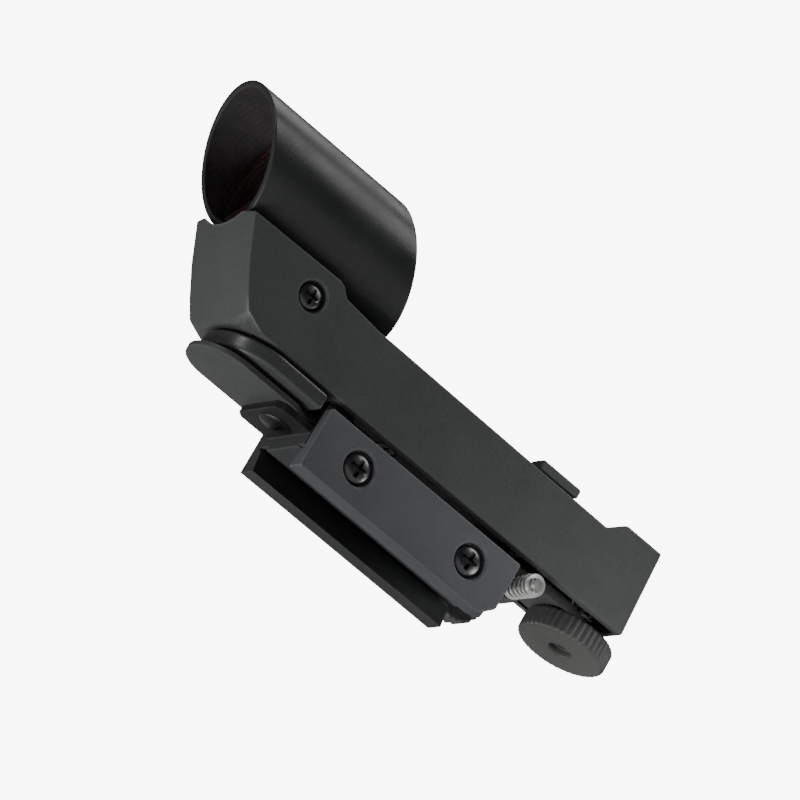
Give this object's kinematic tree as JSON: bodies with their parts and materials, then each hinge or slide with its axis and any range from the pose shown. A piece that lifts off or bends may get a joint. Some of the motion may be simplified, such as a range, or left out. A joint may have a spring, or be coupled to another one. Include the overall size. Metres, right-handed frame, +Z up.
{
  "type": "telescope finder scope",
  "caption": "Zero-magnification red-dot finder: open sight tube with a tilted coated window on a long bar body, carried on a dovetail clamp bracket with altitude and azimuth adjusters.",
  "frame": {"origin": "centre of the object's box in plan, on the plane of the bracket's feet", "axes": "+X to the observer's eye (rear), -X to the sky, +Z up, -Y the side that the clamp screws face"},
  "size_m": [0.1388, 0.0352, 0.0644],
  "materials": {
    "body_plastic": "moulded charcoal, fine matte texture",
    "tube_plastic": "moulded near-black, fine matte texture",
    "bracket_plastic": "moulded dark grey, matte",
    "clamp_paint": "dark grey satin paint on a flat bar",
    "wheel_plastic": "moulded dark grey, ribbed rim",
    "steel": "plated screws and pins",
    "spring_steel": "bright drawn wire",
    "brass": "turned and stamped brass",
    "coated_glass": "reflex window with a red-reflecting coating",
    "board": "green solder mask over glass fibre",
    "black_plastic": "moulded black",
    "red_lens": "clear red lamp body"
  },
  "bodies": {
    "bracket": {"bracket_base": "bracket_plastic", "swivel_pin": "steel", "swivel_clip": "spring_steel", "azimuth_spring": "spring_steel"},
    "clamp": {"clamp_plate": "clamp_paint"},
    "clamp_bolt_front": {"clamp_screw_front": "steel"},
    "clamp_bolt_rear": {"clamp_screw_rear": "steel"},
    "arm": {"swivel_arm": "bracket_plastic", "hinge_pin": "steel", "azimuth_nut": "brass", "altitude_spring": "spring_steel"},
    "azimuth_adjuster": {"azimuth_screw": "steel", "azimuth_wheel": "wheel_plastic", "azimuth_clip": "steel"},
    "altitude_adjuster": {"altitude_screw": "steel", "altitude_wheel": "wheel_plastic"},
    "finder": {"body_shell": "body_plastic", "bottom_cover": "black_plastic", "cover_screw_1": "steel", "cover_screw_2": "steel", "cover_screw_3": "steel", "cover_screw_4": "steel", "cheek_screw_left": "steel", "cheek_screw_right": "steel", "sight_tube": "tube_plastic", "reflex_window": "coated_glass", "window_ring": "black_plastic", "led_holder": "black_plastic", "led_lamp": "red_lens", "circuit_board": "board", "board_screw_1": "steel", "board_screw_2": "steel", "switch_block": "black_plastic", "contact_minus": "brass", "contact_plus": "brass", "altitude_nut": "brass"},
    "power_switch": {"power_slide": "body_plastic"},
    "battery_drawer": {"battery_tray": "body_plastic", "coin_cell": "steel"}
  },
  "joints": [
    {"name": "azimuth_swivel", "type": "hinge", "parent": "bracket", "child": "arm", "pos_m": [-0.0243, -0.00305, 0.0102], "axis": [0, 0, 1], "range_deg": [-2, 2], "deforming": ["azimuth_spring"]},
    {"name": "azimuth_wheel_turn", "type": "hinge", "parent": "bracket", "child": "azimuth_adjuster", "pos_m": [0.0405, -0.00305, 0.013], "axis": [0, -1, 0], "range_deg": [-1630, 1630]},
    {"name": "altitude_tilt", "type": "hinge", "parent": "arm", "child": "finder", "pos_m": [-0.0154, -0.00305, 0.0204], "axis": [0, -1, 0], "range_deg": [-1, 1.5], "deforming": ["altitude_spring"]},
    {"name": "altitude_wheel_turn", "type": "hinge", "parent": "arm", "child": "altitude_adjuster", "pos_m": [0.0592, -0.00305, 0.0153], "axis": [0, 0, -1], "range_deg": [-671, 1006]},
    {"name": "power_slide", "type": "slide", "parent": "finder", "child": "power_switch", "axis": [-1, 0, 0], "range_m": [0, 0.003]},
    {"name": "tray_slide", "type": "slide", "parent": "finder", "child": "battery_drawer", "axis": [-1, 0, 0], "range_m": [0, 0.017]},
    {"name": "clamp_bolt_front_turn", "type": "hinge", "parent": "clamp", "child": "clamp_bolt_front", "pos_m": [-0.0079, -0.00305, 0.0079], "axis": [0, -1, 0], "range_deg": [0, 773]},
    {"name": "clamp_bolt_rear_turn", "type": "hinge", "parent": "clamp", "child": "clamp_bolt_rear", "pos_m": [0.0248, -0.00305, 0.0079], "axis": [0, -1, 0], "range_deg": [0, 773]},
    {"name": "clamp_slide", "type": "slide", "parent": "bracket", "child": "clamp", "axis": [0, -1, 0], "range_m": [0, 0.0015]}
  ],
  "couplings": [
    {"joint": "azimuth_wheel_turn", "follows": "azimuth_swivel", "ratio": 814.3},
    {"joint": "altitude_wheel_turn", "follows": "altitude_tilt", "ratio": 669.61},
    {"joint": "clamp_bolt_front_turn", "follows": "clamp_slide", "rad_per_m": 8976},
    {"joint": "clamp_bolt_rear_turn", "follows": "clamp_slide", "rad_per_m": 8976}
  ]
}
